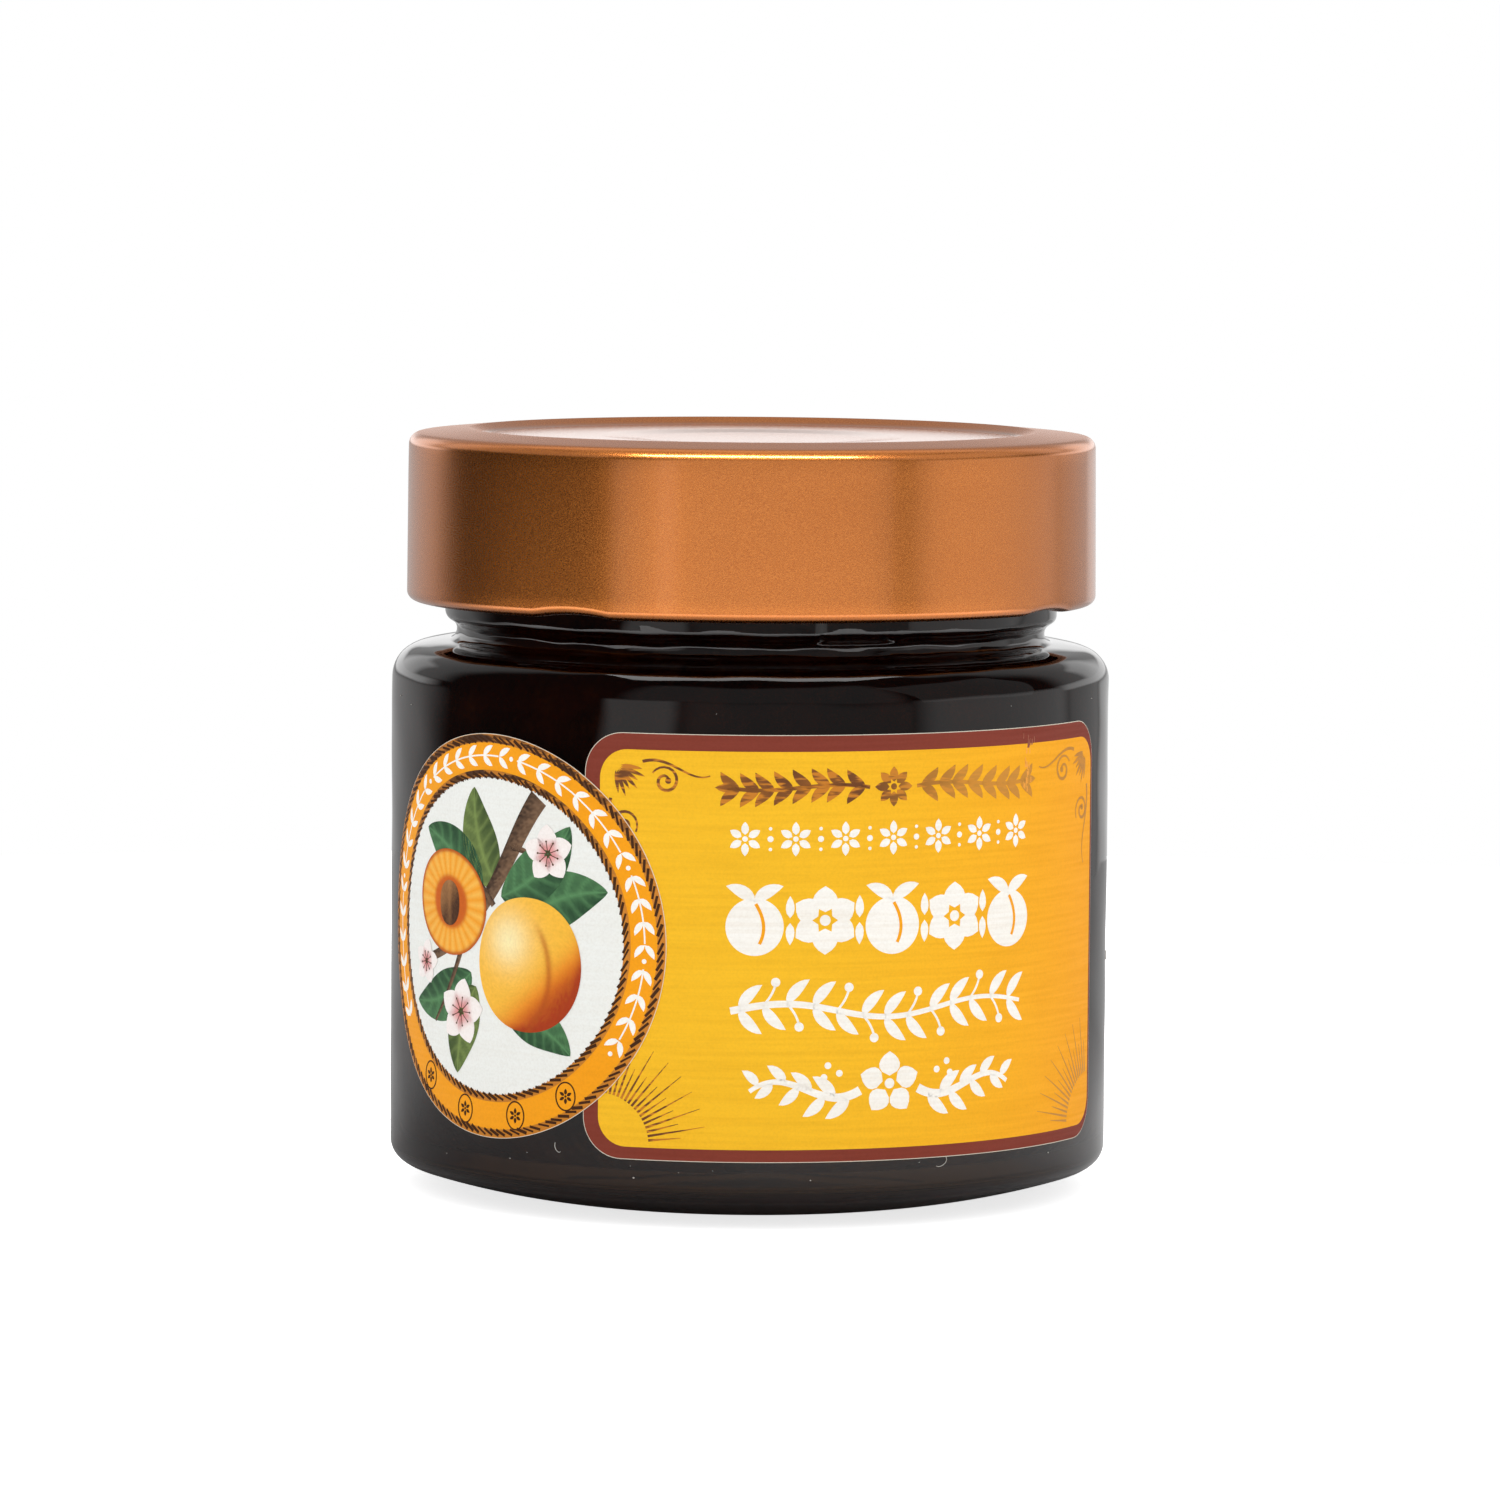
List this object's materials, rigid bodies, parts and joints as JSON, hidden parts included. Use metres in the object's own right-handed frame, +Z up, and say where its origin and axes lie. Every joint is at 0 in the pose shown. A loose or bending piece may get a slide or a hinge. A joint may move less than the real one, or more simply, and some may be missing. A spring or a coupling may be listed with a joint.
{
  "type": "jar of apricot jam",
  "caption": "Squat round dark glass jar of apricot jam with a deep copper twist-off lid, a wrapped front label and a round medallion label.",
  "frame": {"origin": "on the jar's axis, at the plane of the ring it stands on", "axes": "+Z up the jar's axis to the lid, and -Y to the front, where the main label runs from 26 degrees left of it to 70 degrees right of it"},
  "size_m": [0.0756, 0.0758, 0.0799],
  "materials": {
    "glass": "very dark brown glass, polished",
    "jam": "wet apricot jam",
    "lid_metal": "satin copper lacquer",
    "seal": "off-white sealing compound",
    "label_paper": "matte laid paper, printed",
    "medallion_paper": "matte paper with foil rings"
  },
  "bodies": {
    "root": {"glass_jar": "glass", "jam": "jam", "lid": "lid_metal", "lid_seal": "seal", "main_label": "label_paper", "medallion_label": "medallion_paper"}
  },
  "joints": []
}
